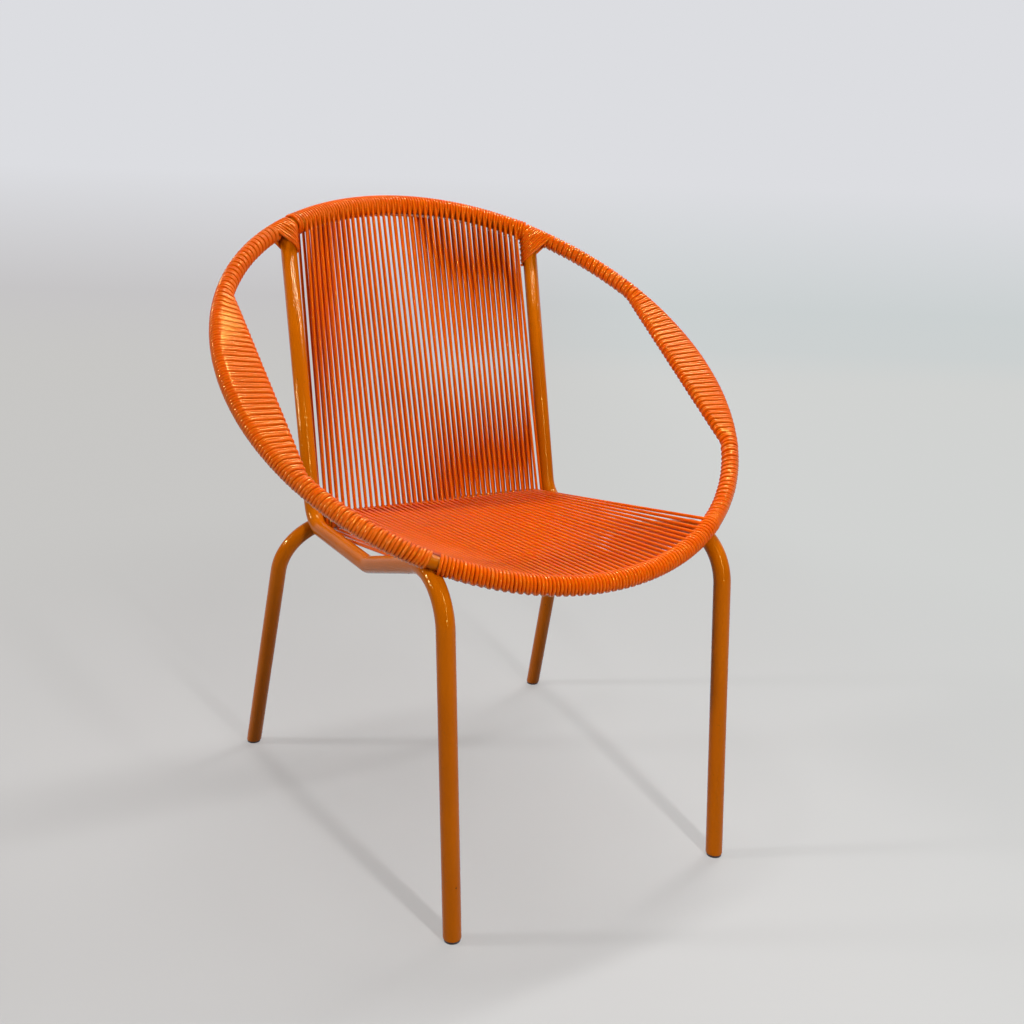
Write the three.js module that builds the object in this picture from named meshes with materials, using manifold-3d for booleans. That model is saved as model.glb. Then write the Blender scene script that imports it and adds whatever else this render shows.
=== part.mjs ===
import * as THREE from 'three';
import { mergeVertices } from 'three/addons/utils/BufferGeometryUtils.js';
import Module from 'manifold-3d';

// Round patio chair: a tilted hoop on two bent side tubes and a rear leg frame, strung with cord.
// Millimetres, +Z up. The chair faces -Y and stands on z = 0. Left is the sitter's left, at +X.

const degrees = THREE.MathUtils.degToRad;

// Hoop
const hoopHalfWidth = 350;
const hoopHalfDepth = 363;
const hoopTilt = degrees(35.34);
const hoopCentreHeight = 617.65;
const hoopTubeRadius = 8;
const hoopSteps = 96;
const hoopSides = 10;

// Back rail, the hoop's wider run between the uprights, set in from the hoop's line
const backRailRadius = 11.1;
const backRailInset = 4.2;
const backRailTaper = degrees(3.75);

// Side tubes, each one bent tube in an upright plane: upright, seat rail and front leg
const frameTubeRadius = 11.1;
const frameTubeSides = 12;
const sideReach = 195;
const railHeight = 383.5;
const creaseReach = 148.5;
const creaseBendRadius = 40;
const railBendRadius = 38;
const frontBendRadius = 62;
const railRise = degrees(16.7);
const frontLegLean = degrees(4.5);
const frontSeatAngle = degrees(111.5);
const uprightLead = 5;

// Rear leg frame, one tube bent to an upside-down U under the crease
const rearSeatAngle = degrees(-48);
const rearCornerReach = 235;
const rearBendRadius = 80;
const rearFootSpread = 256.7;
const rearFootReach = 276.5;

// Arm bars, chords inside the hoop
const armBarRadius = 5;
const armFrontAngle = degrees(-28.7);
const armRearAngle = degrees(26.35);

// Feet: the tube ends are cut level and hold a pressed-in plug
const footRounding = 2.5;
const socketRadius = 9.9;
const socketDepth = 26;
const plugFlangeHeight = 2.6;
const plugStemLength = 22;
const plugChamfer = 0.8;
const plugClearance = 0.3;

// Cord
const cordDiameter = 4.35;
const cordGap = 0.5;
const weldGap = 0.3;
const cordSideGap = 0.4;
const rimEdgeInset = 4;
const rimCordClearance = 0.5;
const barCordClearance = 0.5;

// Rim windings
const windingHeight = 4.2;
const windingGroove = 1.3;
const windingClearance = 0.8;
const windingEndGap = 0.5;
const windingRibPitch = 18;
const frontBareLength = 12.5;
const uprightBareLength = 20.5;
const boreSpacingRibs = 2;

// Corner lashings, fanned turns round the tops of the uprights: distances down from the hoop
const lashingOuterStart = 25;
const lashingOuterEnd = 29;
const lashingInnerStart = 12;
const lashingInnerEnd = 46;
const lashingTurns = 5;
const lashingClearance = 0.5;

// Bends and sections
const bendStep = degrees(11);
const wrapTurn = degrees(45);
const wrapHalfAngles = [-1.5, -0.5, 0.5, 1.5].map((step) => step * wrapTurn);
const seatingPasses = 6;
const samplePitch = 2;
const nearestArcStart = degrees(10);
const nearestArcEnd = degrees(80);

const vector = (x, y, z) => new THREE.Vector3(x, y, z);
const blend = (a, b, share) => a.clone().lerp(b, share);
const offset = (point, direction, distance) => point.clone().addScaledVector(direction, distance);
const xAxis = vector(1, 0, 0);
const hoopNormal = vector(0, -Math.sin(hoopTilt), Math.cos(hoopTilt));

// The hoop is an ellipse in a tilted plane: angle 0 at +X, 90 degrees at its top, -90 at its front
function hoopPoint(angle) {
  const depth = hoopHalfDepth * Math.sin(angle);
  const x = hoopHalfWidth * Math.cos(angle);
  return vector(x, depth * Math.cos(hoopTilt), hoopCentreHeight + depth * Math.sin(hoopTilt));
}

function hoopTangent(angle) {
  const depth = hoopHalfDepth * Math.cos(angle);
  const x = -hoopHalfWidth * Math.sin(angle);
  return vector(x, depth * Math.cos(hoopTilt), depth * Math.sin(hoopTilt)).normalize();
}

// How far the hoop has turned into the back rail, from 0 to 1
function railShare(angle) {
  const fromTop = Math.abs(angle - Math.PI / 2);
  const fullRail = Math.PI / 2 - Math.acos(sideReach / hoopHalfWidth) - backRailTaper;
  return THREE.MathUtils.clamp((fullRail + 2 * backRailTaper - fromTop) / (2 * backRailTaper), 0, 1);
}

// Centre of the tube itself, which lies inside the hoop's line along the back rail
function hoopTubePoint(angle) {
  const inward = hoopNormal.clone().cross(hoopTangent(angle));
  return offset(hoopPoint(angle), inward, backRailInset * railShare(angle));
}

function hoopArc(from, to, steps) {
  const stations = Array.from({ length: steps + 1 }, (_, step) => step / steps);
  return stations.map((share) => hoopPoint(from + (to - from) * share));
}

// Volume with its sign, to tell whether the faces point out
function signedVolume(positions, faces) {
  const corner = (index) => vector(...positions.slice(3 * index, 3 * index + 3));
  let sum = 0;
  for (let face = 0; face < faces.length; face += 3) {
    const [a, b, c] = faces.slice(face, face + 3).map(corner);
    sum += a.dot(b.cross(c));
  }
  return sum;
}

// A closed surface over rings of equal point counts, with flat ends, or joined end to start
function loft(rings, joined = false) {
  const sides = rings[0].length;
  const positions = rings.flat().flatMap((point) => point.toArray());
  const faces = [];
  const bands = joined ? rings.length : rings.length - 1;
  for (let band = 0; band < bands; band += 1) {
    const near = band * sides;
    const far = ((band + 1) % rings.length) * sides;
    for (let side = 0; side < sides; side += 1) {
      const next = (side + 1) % sides;
      faces.push(near + side, near + next, far + next);
      faces.push(near + side, far + next, far + side);
    }
  }
  if (!joined) {
    const last = (rings.length - 1) * sides;
    for (let side = 1; side < sides - 1; side += 1) {
      faces.push(0, side + 1, side);
      faces.push(last, last + side, last + side + 1);
    }
  }
  if (signedVolume(positions, faces) < 0) {
    faces.reverse();
  }
  const geometry = new THREE.BufferGeometry();
  geometry.setAttribute('position', new THREE.Float32BufferAttribute(positions, 3));
  geometry.setIndex(faces);
  return geometry;
}

// A path of straight runs with an arc of the given radius at each inner corner
function bentPath(corners, radii) {
  const path = [corners[0]];
  radii.forEach((radius, index) => {
    const corner = corners[index + 1];
    const back = corners[index].clone().sub(corner).normalize();
    const ahead = corners[index + 2].clone().sub(corner).normalize();
    const turn = Math.PI - back.angleTo(ahead);
    const inward = back.clone().add(ahead).normalize();
    const centre = offset(corner, inward, radius / Math.cos(turn / 2));
    const from = offset(corner, back, radius * Math.tan(turn / 2)).sub(centre);
    const axis = back.clone().cross(from).normalize();
    const steps = Math.ceil(turn / bendStep);
    for (let step = 0; step <= steps; step += 1) {
      path.push(from.clone().applyAxisAngle(axis, turn * step / steps).add(centre));
    }
  });
  path.push(corners[corners.length - 1]);
  return path;
}

// The direction at each path point, the direction across it, and its stretch in the mitre there
function pathFrames(path, acrossAt, joined = false) {
  const count = path.length;
  return path.map((point, index) => {
    const before = joined || index > 0 ? path[(index - 1 + count) % count] : null;
    const after = joined || index < count - 1 ? path[(index + 1) % count] : null;
    const arriving = before ? point.clone().sub(before).normalize() : after.clone().sub(point).normalize();
    const leaving = after ? after.clone().sub(point).normalize() : arriving;
    const along = arriving.clone().add(leaving).normalize();
    const outward = along.clone().cross(acrossAt(index)).normalize();
    const across = outward.clone().cross(along).normalize();
    const stretch = 1 / Math.cos(arriving.angleTo(leaving) / 2);
    return { point, along, outward, across, stretch };
  });
}

function circleRing(frame, radius, sides) {
  return Array.from({ length: sides }, (_, side) => {
    const angle = 2 * Math.PI * side / sides;
    const ring = offset(frame.point, frame.outward, radius * Math.cos(angle) * frame.stretch);
    return ring.addScaledVector(frame.across, radius * Math.sin(angle));
  });
}

// The same ring slid along the tube's own direction until it lies level at the height
function levelRing(frame, height, radius, sides) {
  return circleRing(frame, radius, sides).map((point) => (
    offset(point, frame.along, (height - point.z) / frame.along.z)
  ));
}

function plainTube(path, radius, sides, across, joined = false) {
  const frames = pathFrames(path, () => across, joined);
  return loft(frames.map((frame) => circleRing(frame, radius, sides)), joined);
}

// Rings of a level-cut tube end, from its rounded outside to the bottom of its plug socket
function footRings(frame) {
  const cut = plugFlangeHeight + plugClearance;
  return [
    levelRing(frame, cut + footRounding, frameTubeRadius, frameTubeSides),
    levelRing(frame, cut, frameTubeRadius - footRounding / 2, frameTubeSides),
    levelRing(frame, cut, socketRadius - footRounding / 2, frameTubeSides),
    levelRing(frame, cut + socketDepth, socketRadius - footRounding / 2, frameTubeSides),
  ];
}

// The last frame of a path that ends on the floor
function floorFrame(path, across) {
  return pathFrames(path, () => across).pop();
}

function subdivided(path, joined = false) {
  const points = [];
  const runs = joined ? path.length : path.length - 1;
  for (let run = 0; run < runs; run += 1) {
    const start = path[run];
    const end = path[(run + 1) % path.length];
    const steps = Math.ceil(start.distanceTo(end) / samplePitch);
    for (let step = 0; step < steps; step += 1) {
      points.push(blend(start, end, step / steps));
    }
  }
  return points;
}

function leastDistance(first, second) {
  let least = Infinity;
  for (const a of first) {
    for (const b of second) {
      least = Math.min(least, a.distanceToSquared(b));
    }
  }
  return Math.sqrt(least);
}

// Moves a tube, given by its reach from a bend's centre line, until it just clears the other one
function seated(pathAt, other, distance) {
  let reach = distance;
  const fixed = subdivided(other);
  for (let pass = 0; pass < seatingPasses; pass += 1) {
    reach += distance - leastDistance(subdivided(pathAt(reach)), fixed);
  }
  return pathAt(reach);
}

// Corner of two directions whose bend has its centre at the given place
function cornerRound(centre, radius, back, ahead) {
  const turn = Math.PI - back.angleTo(ahead);
  const inward = back.clone().add(ahead).normalize();
  return offset(centre, inward, -radius / Math.cos(turn / 2));
}

// Centre line of a side tube in the plane x = side * sideReach, from its top to its front foot
function sidePathAt(reach, side) {
  const x = side * sideReach;
  const crossing = Math.acos(sideReach / hoopHalfWidth);
  const top = hoopPoint(crossing);
  const front = hoopPoint(-crossing);
  const railBack = vector(0, Math.cos(railRise), -Math.sin(railRise));
  const legDown = vector(0, -Math.sin(frontLegLean), -Math.cos(frontLegLean));
  const seatWay = vector(0, Math.cos(frontSeatAngle), Math.sin(frontSeatAngle));
  const bendCentre = offset(vector(x, front.y, front.z), seatWay, -frontBendRadius - reach);
  const frontCorner = cornerRound(bendCentre, frontBendRadius, railBack, legDown);
  const railCorner = offset(frontCorner, railBack, (railHeight - frontCorner.z) / railBack.z);
  const foot = offset(frontCorner, legDown, -frontCorner.z / legDown.z);
  const corners = [
    vector(x, top.y - uprightLead, top.z),
    vector(x, creaseReach, railHeight),
    railCorner,
    frontCorner,
    foot,
  ];
  return bentPath(corners, [creaseBendRadius, railBendRadius, frontBendRadius]);
}

function sidePath(side) {
  const front = -Math.PI / 2;
  const nearFront = hoopArc(front + nearestArcEnd * side, front + nearestArcStart * side, hoopSteps);
  const distance = frameTubeRadius + hoopTubeRadius + weldGap;
  return seated((reach) => sidePathAt(reach, side), nearFront, distance);
}

// Centre line of the rear leg frame, welded under the crease bends of the side tubes
function rearPathAt(reach) {
  const crease = vector(0, creaseReach, railHeight);
  const top = hoopPoint(Math.acos(sideReach / hoopHalfWidth));
  const up = vector(0, top.y - uprightLead, top.z).sub(crease).normalize();
  const forward = vector(0, -1, 0);
  const turn = Math.PI - up.angleTo(forward);
  const inward = up.clone().add(forward).normalize();
  const centre = offset(crease, inward, creaseBendRadius / Math.cos(turn / 2));
  const seatWay = vector(0, Math.cos(rearSeatAngle), Math.sin(rearSeatAngle));
  const weld = offset(centre, seatWay, creaseBendRadius + reach);
  const foot = vector(0, rearFootReach, 0);
  const down = foot.clone().sub(weld).normalize();
  const splay = Math.atan2(rearFootSpread - rearCornerReach, foot.distanceTo(weld));
  const straightReach = rearCornerReach - rearBendRadius * Math.tan((Math.PI / 2 - splay) / 2);
  const inBend = Math.max(0, sideReach - straightReach);
  const drop = rearBendRadius - Math.sqrt(rearBendRadius ** 2 - inBend ** 2);
  const bar = offset(weld, down, -drop);
  const corners = [
    vector(-rearFootSpread, foot.y, foot.z),
    vector(-rearCornerReach, bar.y, bar.z),
    vector(rearCornerReach, bar.y, bar.z),
    vector(rearFootSpread, foot.y, foot.z),
  ];
  return bentPath(corners, [rearBendRadius, rearBendRadius]);
}

function rearPath(leftSidePath) {
  return seated(rearPathAt, leftSidePath, 2 * frameTubeRadius + weldGap);
}

// Solids for joins and cuts
const wasm = await Module();
wasm.setup();

function toSolid(geometry) {
  const welded = geometry.clone();
  welded.deleteAttribute('normal');
  welded.deleteAttribute('uv');
  const merged = mergeVertices(welded);
  return new wasm.Manifold(new wasm.Mesh({
    numProp: 3,
    vertProperties: new Float32Array(merged.attributes.position.array),
    triVerts: new Uint32Array(merged.index.array),
  }));
}

function toGeometry(solid) {
  const mesh = solid.getMesh();
  const geometry = new THREE.BufferGeometry();
  geometry.setAttribute('position', new THREE.Float32BufferAttribute(mesh.vertProperties, 3));
  geometry.setIndex(Array.from(mesh.triVerts));
  return geometry;
}

// The hoop grown by a gap, 0 for the tube itself
function hoopLoft(gap) {
  const angles = Array.from({ length: hoopSteps }, (_, step) => 2 * Math.PI * step / hoopSteps);
  const frames = pathFrames(angles.map(hoopTubePoint), () => hoopNormal, true);
  return loft(frames.map((frame, index) => {
    const widening = (backRailRadius - hoopTubeRadius) * railShare(angles[index]);
    return circleRing(frame, hoopTubeRadius + widening + gap, hoopSides);
  }), true);
}

// The hoop with the weld gap round it, for the coped ends that meet it
function hoopCutter() {
  return toSolid(hoopLoft(weldGap));
}

function coped(geometry) {
  return toGeometry(toSolid(geometry).subtract(hoopCutter()));
}

function sideTube(path) {
  const frames = pathFrames(path, () => xAxis);
  const foot = frames.pop();
  const rings = frames.map((frame) => circleRing(frame, frameTubeRadius, frameTubeSides));
  return coped(loft([...rings, ...footRings(foot)]));
}

function rearLegFrame(path) {
  const across = rearAcross(path);
  const frames = pathFrames(path, () => across);
  const lastFoot = frames.pop();
  const firstFoot = frames.shift();
  const rings = frames.map((frame) => circleRing(frame, frameTubeRadius, frameTubeSides));
  return loft([...footRings(firstFoot).reverse(), ...rings, ...footRings(lastFoot)]);
}

// Normal of the slanted plane in which the rear leg frame lies
function rearAcross(path) {
  const middle = path[Math.floor(path.length / 2)];
  const down = vector(0, path[0].y - middle.y, path[0].z - middle.z);
  return down.cross(xAxis).normalize();
}

// Plug pressed into a tube end: a flat flange on the floor and a stem in the socket
function footPlug(frame) {
  const stemRadius = socketRadius - footRounding / 2 - plugClearance;
  const flangeRadius = frameTubeRadius - footRounding / 2;
  return loft([
    levelRing(frame, 0, flangeRadius - plugChamfer, frameTubeSides),
    levelRing(frame, plugChamfer, flangeRadius, frameTubeSides),
    levelRing(frame, plugFlangeHeight, flangeRadius, frameTubeSides),
    levelRing(frame, plugFlangeHeight, stemRadius, frameTubeSides),
    levelRing(frame, plugFlangeHeight + plugStemLength, stemRadius - plugChamfer, frameTubeSides),
  ]);
}

function armBar(side) {
  const ends = [armFrontAngle, armRearAngle].map((angle) => {
    const end = hoopPoint(angle);
    return vector(side * end.x, end.y, end.z);
  });
  return coped(plainTube(ends, armBarRadius, hoopSides, hoopNormal));
}

// The strung field: cords of the seat and of the back take turns side by side on the cross bar
const fieldReach = sideReach - frameTubeRadius - cordSideGap;
const loops = Math.floor(fieldReach / cordDiameter);
const barSpacing = fieldReach / loops;
const cordReach = (cordDiameter - cordGap) / 2;
const edgeAngle = Math.acos((fieldReach - cordReach - rimEdgeInset) / hoopHalfWidth);
const rimStep = (Math.PI - 2 * edgeAngle) / (loops - 1 / 2);
const rimReach = (hoopHalfWidth * rimStep - cordGap) / 2 - cordGap / 2;

// The seat is strung from right to left and the back from left to right
const seatField = {
  side: -1,
  sitterWay: vector(0, 0, 1),
  rimRadius: hoopTubeRadius,
  angleAt: (place) => -Math.PI + edgeAngle + place * rimStep,
};
const backField = {
  side: 1,
  sitterWay: vector(0, -1, 0),
  rimRadius: backRailRadius,
  angleAt: (place) => edgeAngle + place * rimStep,
};

// Where a cord crosses the bar, which droops towards its welded ends
function barPlace(field, loop, barPath) {
  const x = field.side * (fieldReach - (2 * loop + 1 / 2) * barSpacing);
  const after = barPath.findIndex((point, index) => index > 0 && point.x >= x && barPath[index - 1].x < x);
  const [from, to] = [barPath[after - 1], barPath[after]];
  const droop = Math.hypot(to.y - from.y, to.z - from.z) / (to.x - from.x);
  return { centre: blend(from, to, (x - from.x) / (to.x - from.x)), droop };
}

// Corner points of a half turn round a tube, which keep the flat runs between them clear of it
function halfTurn(centreAt, outward, upward, innerRadius) {
  const distance = (innerRadius + cordReach) / Math.cos(wrapTurn / 2);
  return wrapHalfAngles.map((angle, index) => {
    const point = offset(centreAt(index), outward, distance * Math.cos(angle));
    return point.addScaledVector(upward, distance * Math.sin(angle));
  });
}

// Turn round the cross bar, from the far side of the strung field to the sitter's side
function barTurn(field, loop, barPath) {
  const { centre, droop } = barPlace(field, loop, barPath);
  const rim = hoopTubePoint(field.angleAt(loop));
  const outward = vector(0, centre.y - rim.y, centre.z - rim.z).normalize();
  const upward = offset(field.sitterWay, outward, -field.sitterWay.dot(outward)).normalize();
  const innerRadius = (frameTubeRadius + barCordClearance) * Math.hypot(1, droop) + cordReach * droop;
  const points = halfTurn(() => centre, outward, upward, innerRadius);
  return points.map((point) => ({ point, across: xAxis, reach: cordReach }));
}

// Turn over the hoop, from the sitter's side to the far side, half a place further along
function rimTurn(field, loop, barPath) {
  const angles = wrapHalfAngles.map((_, index) => field.angleAt(loop + index / (2 * wrapHalfAngles.length)));
  const middle = field.angleAt(loop);
  const tangent = hoopTangent(middle);
  const across = tangent.multiplyScalar(Math.sign(tangent.x));
  const ray = hoopTubePoint(middle).sub(barPlace(field, loop, barPath).centre);
  const outward = offset(ray, across, -ray.dot(across)).normalize();
  const upward = offset(field.sitterWay, across, -field.sitterWay.dot(across));
  upward.addScaledVector(outward, -upward.dot(outward)).normalize();
  const centreAt = (index) => hoopTubePoint(angles[wrapHalfAngles.length - 1 - index]);
  const points = halfTurn(centreAt, outward, upward, field.rimRadius + rimCordClearance).reverse();
  const wide = loop > 0 && loop < loops - 1 ? rimReach : cordReach;
  const reaches = [cordReach, wide, wide, cordReach];
  return points.map((point, index) => ({ point, across, reach: reaches[index] }));
}

// One unbroken cord through all its loops; a loop is a turn on the bar, a strand, a turn on the rim
// and a strand back. The two turns that each loop lies round the rim are drawn as one wide turn.
function strungPlaces(field, barPath) {
  const places = [];
  for (let loop = 0; loop < loops; loop += 1) {
    places.push(...barTurn(field, loop, barPath));
    places.push(...rimTurn(field, loop, barPath));
  }
  const turns = 2 * wrapHalfAngles.length;
  const tail = (end, strandFrom) => {
    const way = strandFrom.point.clone().sub(end.point).normalize();
    return { ...end, point: offset(end.point, way, cordDiameter) };
  };
  const startTail = tail(places[0], places[turns - 1]);
  const endTail = tail(places[places.length - 1], places[places.length - turns]);
  return [startTail, ...places, endTail];
}

function cordRings(places) {
  const frames = pathFrames(places.map((place) => place.point), (index) => places[index].across);
  return frames.map((frame, index) => {
    const thick = cordReach * frame.stretch;
    const wide = places[index].reach;
    return [[1, 1], [-1, 1], [-1, -1], [1, -1]].map(([out, side]) => (
      offset(frame.point, frame.outward, out * thick).addScaledVector(frame.across, side * wide)
    ));
  });
}

// Least gap between the edges of one loop and those of the next, measured on points
function leastLoopGap(rings) {
  const ringsPerLoop = 2 * wrapHalfAngles.length;
  const edges = [0, 1, 2, 3];
  const loopPoints = (loop) => {
    const own = rings.slice(1 + loop * ringsPerLoop, 1 + (loop + 1) * ringsPerLoop);
    return edges.flatMap((edge) => subdivided(own.map((ring) => ring[edge])));
  };
  let least = Infinity;
  for (let loop = 0; loop < loops - 1; loop += 1) {
    least = Math.min(least, leastDistance(loopPoints(loop), loopPoints(loop + 1)));
  }
  return least;
}

function strungCord(name, field, barPath) {
  const rings = cordRings(strungPlaces(field, barPath));
  console.log(`${name}: ${loops} loops, least gap to itself ${leastLoopGap(rings).toFixed(2)} mm`);
  return loft(rings);
}

// Section of a winding pulled round the hoop and, in an arm, round its bar too
function windingRing(station, height) {
  const clear = windingClearance + height;
  const hoopRadius = hoopTubeRadius + clear;
  const barRadius = station.barRadius + clear;
  const hoopAngles = [-2.5, -1.5, -0.5, 0.5, 1.5, 2.5].map((step) => step * wrapTurn);
  const barEnd = Math.max(station.hoop.distanceTo(station.bar) + barRadius, hoopRadius);
  const barHalf = Math.max(barRadius, hoopRadius * Math.tan(wrapTurn / 2));
  const distance = hoopRadius / Math.cos(wrapTurn / 2);
  const round = hoopAngles.map((angle) => {
    const point = offset(station.hoop, station.inward, -distance * Math.cos(angle));
    return point.addScaledVector(hoopNormal, distance * Math.sin(angle));
  });
  const corners = [barHalf, -barHalf].map((half) => (
    offset(station.hoop, station.inward, barEnd).addScaledVector(hoopNormal, half)
  ));
  return [...round, ...corners];
}

// Sleeve of ribs with a bore, over stations given by a share of its length
function ribbedSleeve(stationAt, length) {
  const ribs = boreSpacingRibs * Math.round(length / windingRibPitch / boreSpacingRibs);
  const outer = [];
  for (let ring = 0; ring <= 2 * ribs; ring += 1) {
    const height = ring % 2 ? windingHeight : windingHeight - windingGroove;
    outer.push(windingRing(stationAt(ring / (2 * ribs)), height - windingClearance));
  }
  const bore = [];
  for (let rib = ribs; rib >= 0; rib -= boreSpacingRibs) {
    bore.push(windingRing(stationAt(rib / ribs), 0));
  }
  return loft([...outer, ...bore], true);
}

function mirrored(point, side) {
  return vector(side * point.x, point.y, point.z);
}

// Winding on the bare hoop between two hoop angles
function rimWinding(from, to, side) {
  const length = hoopPoint(from).distanceTo(hoopPoint(to));
  const stationAt = (share) => {
    const angle = from + (to - from) * share;
    const hoop = mirrored(hoopPoint(angle), side);
    const tangent = mirrored(hoopTangent(angle), side);
    const inward = hoopNormal.clone().cross(tangent).multiplyScalar(side);
    return { hoop, bar: hoop, barRadius: 0, inward };
  };
  return ribbedSleeve(stationAt, length);
}

// Winding of an arm, flat between the hoop and the arm bar
function armWinding(side) {
  const trim = windingEndGap / hoopHalfWidth;
  const from = armFrontAngle + trim;
  const to = armRearAngle - trim;
  const barFront = hoopPoint(armFrontAngle);
  const barWay = hoopPoint(armRearAngle).sub(barFront).normalize();
  const stationAt = (share) => {
    const angle = from + (to - from) * share;
    const hoop = hoopPoint(angle);
    const cut = hoopTangent(angle).addScaledVector(barWay, Math.sin(Math.PI * share)).normalize();
    const bar = offset(barFront, barWay, hoop.clone().sub(barFront).dot(cut) / barWay.dot(cut));
    const inward = hoopNormal.clone().cross(cut).normalize();
    return {
      hoop: mirrored(hoop, side),
      bar: mirrored(bar, side),
      barRadius: armBarRadius,
      inward: mirrored(inward, side),
    };
  };
  return ribbedSleeve(stationAt, barFront.distanceTo(hoopPoint(armRearAngle)));
}

// Turns round the top of an upright, close together outside and fanned down inside
function cornerLashing(side) {
  const path = sidePathAt(frameTubeRadius + hoopTubeRadius, side);
  const down = path[1].clone().sub(path[0]).normalize();
  const outside = xAxis.clone().multiplyScalar(side);
  const front = down.clone().cross(outside).normalize();
  const widest = frameTubeRadius + windingHeight;
  const corners = [0.5, 1.5, 2.5, 3.5, 4.5, 5.5, 6.5, 7.5].map((step) => step * wrapTurn);
  const ringAt = (share, radius) => corners.map((angle) => {
    const aside = radius * Math.cos(angle) / Math.cos(wrapTurn / 2);
    const ahead = radius * Math.sin(angle) / Math.cos(wrapTurn / 2);
    const outer = lashingOuterStart + (lashingOuterEnd - lashingOuterStart) * share;
    const inner = lashingInnerStart + (lashingInnerEnd - lashingInnerStart) * share;
    const distance = (outer + inner) / 2 + (outer - inner) / 2 * aside / widest;
    return offset(offset(path[0], down, distance), outside, aside).addScaledVector(front, ahead);
  });
  const outer = Array.from({ length: 2 * lashingTurns + 1 }, (_, ring) => {
    const height = ring % 2 ? windingHeight : windingHeight - windingGroove;
    return ringAt(ring / (2 * lashingTurns), frameTubeRadius + height);
  });
  const innerRadius = frameTubeRadius + lashingClearance;
  return loft([...outer, ringAt(1, innerRadius), ringAt(0, innerRadius)], true);
}

// Materials
const paint = () => new THREE.MeshStandardMaterial({ color: 0xb87008, roughness: 0.3, metalness: 0 });
const cord = () => new THREE.MeshStandardMaterial({ color: 0xe75200, roughness: 0.35, metalness: 0 });
const plugPlastic = () => new THREE.MeshStandardMaterial({ color: 0x1c1712, roughness: 0.6, metalness: 0 });

const chair = new THREE.Group();

function addPiece(name, geometry, material) {
  const mesh = new THREE.Mesh(geometry, material());
  mesh.name = name;
  chair.add(mesh);
}

// Assembly
const sides = [['left', 1], ['right', -1]];
const sidePaths = Object.fromEntries(sides.map(([name, side]) => [name, sidePath(side)]));
const rearFrame = rearPath(sidePaths.left);
const frontTrim = frontBareLength / hoopHalfWidth;
const uprightTrim = uprightBareLength / hoopHalfWidth;
const crossing = Math.acos(sideReach / hoopHalfWidth);
const endTrim = windingEndGap / hoopHalfWidth;

addPiece('hoop_tube', hoopLoft(0), paint);
addPiece('rear_leg_frame', rearLegFrame(rearFrame), paint);
addPiece('rear_left_foot_plug', footPlug(floorFrame(rearFrame, rearAcross(rearFrame))), plugPlastic);
const reversedFrame = [...rearFrame].reverse();
addPiece('rear_right_foot_plug', footPlug(floorFrame(reversedFrame, rearAcross(rearFrame))), plugPlastic);
for (const [name, side] of sides) {
  addPiece(`${name}_side_tube`, sideTube(sidePaths[name]), paint);
  addPiece(`front_${name}_foot_plug`, footPlug(floorFrame(sidePaths[name], xAxis)), plugPlastic);
  addPiece(`${name}_arm_bar`, armBar(side), paint);
  addPiece(`${name}_lower_rim_winding`, rimWinding(-crossing + frontTrim, armFrontAngle - endTrim, side), cord);
  addPiece(`${name}_arm_winding`, armWinding(side), cord);
  addPiece(`${name}_upper_rim_winding`, rimWinding(armRearAngle + endTrim, crossing - uprightTrim, side), cord);
  addPiece(`${name}_corner_lashing`, cornerLashing(side), cord);
}
addPiece('seat_cord', strungCord('seat_cord', seatField, rearFrame), cord);
addPiece('back_cord', strungCord('back_cord', backField, rearFrame), cord);

// The origin lies under the middle of the chair
const box = new THREE.Box3().setFromObject(chair);
chair.position.y = -(box.min.y + box.max.y) / 2;

export default chair;
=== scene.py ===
import random
from math import acos, ceil, cos, hypot, pi, radians, sin, tan

import bpy
from mathutils import Matrix, Vector


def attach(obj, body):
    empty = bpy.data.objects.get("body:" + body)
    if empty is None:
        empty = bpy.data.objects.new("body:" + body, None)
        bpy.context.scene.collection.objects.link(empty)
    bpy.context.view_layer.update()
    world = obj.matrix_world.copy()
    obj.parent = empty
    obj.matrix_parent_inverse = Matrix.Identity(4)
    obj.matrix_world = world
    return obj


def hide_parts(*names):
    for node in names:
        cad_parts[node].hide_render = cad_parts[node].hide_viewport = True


MM = 0.001

# Hoop: an ellipse, with a wider run of tube, set inwards, between the uprights
HOOP_HALF_WIDTH = 350 * MM
HOOP_HALF_DEPTH = 363 * MM
HOOP_HEIGHT = 617.65 * MM
HOOP_TILT = radians(35.34)
HOOP_RADIUS = 8 * MM
HOOP_STEPS = 288
HOOP_SIDES = 32
RAIL_INSET = 4.2 * MM
RAIL_TAPER = radians(3.75)

# Frame tubes. The corners of their centre lines are in millimetres from the middle of the hoop:
# y and z for a side tube, and x, y and z for half of the rear leg frame.
TUBE_RADIUS = 11.1 * MM
TUBE_SIDES = 40
SIDE_REACH = 195 * MM
SIDE_CORNERS = [(240.9, 792.01), (148.5, 383.5), (-53.93, 383.5), (-271.78, 448.86), (-307.106, 0)]
SIDE_BENDS = [40 * MM, 38 * MM, 62 * MM]
REAR_CORNERS = [(256.7, 276.5, 0), (235, 156.83, 384)]
REAR_BEND = 80 * MM
BEND_STEP = radians(3)
CROSSING = acos(SIDE_REACH / HOOP_HALF_WIDTH)
CHAIR_SIDES = (("left", 1), ("right", -1))

# Arm bars, between two places on the hoop
ARM_BAR_RADIUS = 5 * MM
ARM_FRONT = radians(-28.7)
ARM_REAR = radians(26.35)

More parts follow.
